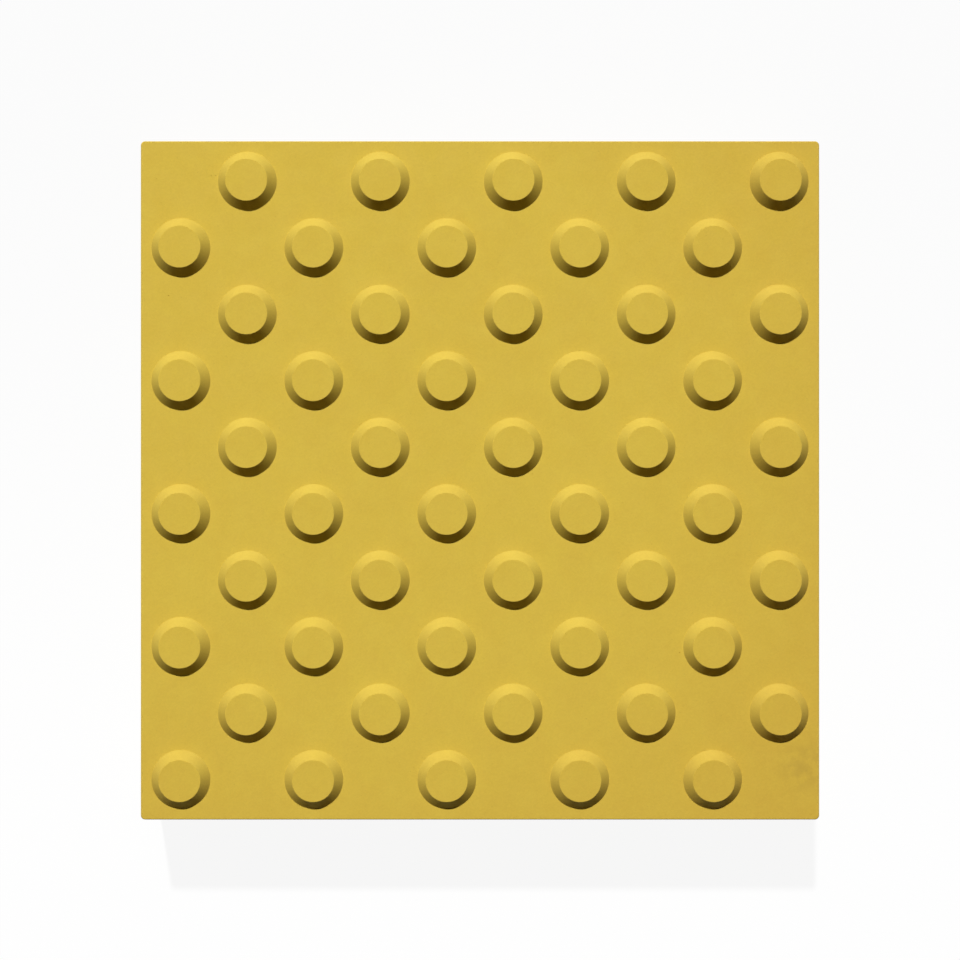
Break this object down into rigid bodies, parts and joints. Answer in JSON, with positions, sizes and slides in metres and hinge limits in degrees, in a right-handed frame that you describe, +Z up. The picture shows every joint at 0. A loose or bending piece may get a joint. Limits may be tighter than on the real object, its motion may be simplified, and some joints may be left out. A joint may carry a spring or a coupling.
{
  "type": "tactile paving slab",
  "caption": "Square yellow concrete paving slab with a diagonal field of flat-topped conical studs, felt underfoot or by cane as a warning surface.",
  "frame": {"origin": "centre of the bed, the flat underside that lies on the ground", "axes": "+Z up through the studded walking face; X and Y along the slab's sides, with the stud rows along X"},
  "size_m": [0.4, 0.4, 0.055],
  "materials": {
    "yellow_concrete": "matte"
  },
  "bodies": {
    "root": {"tactile_slab": "yellow_concrete"}
  },
  "joints": []
}
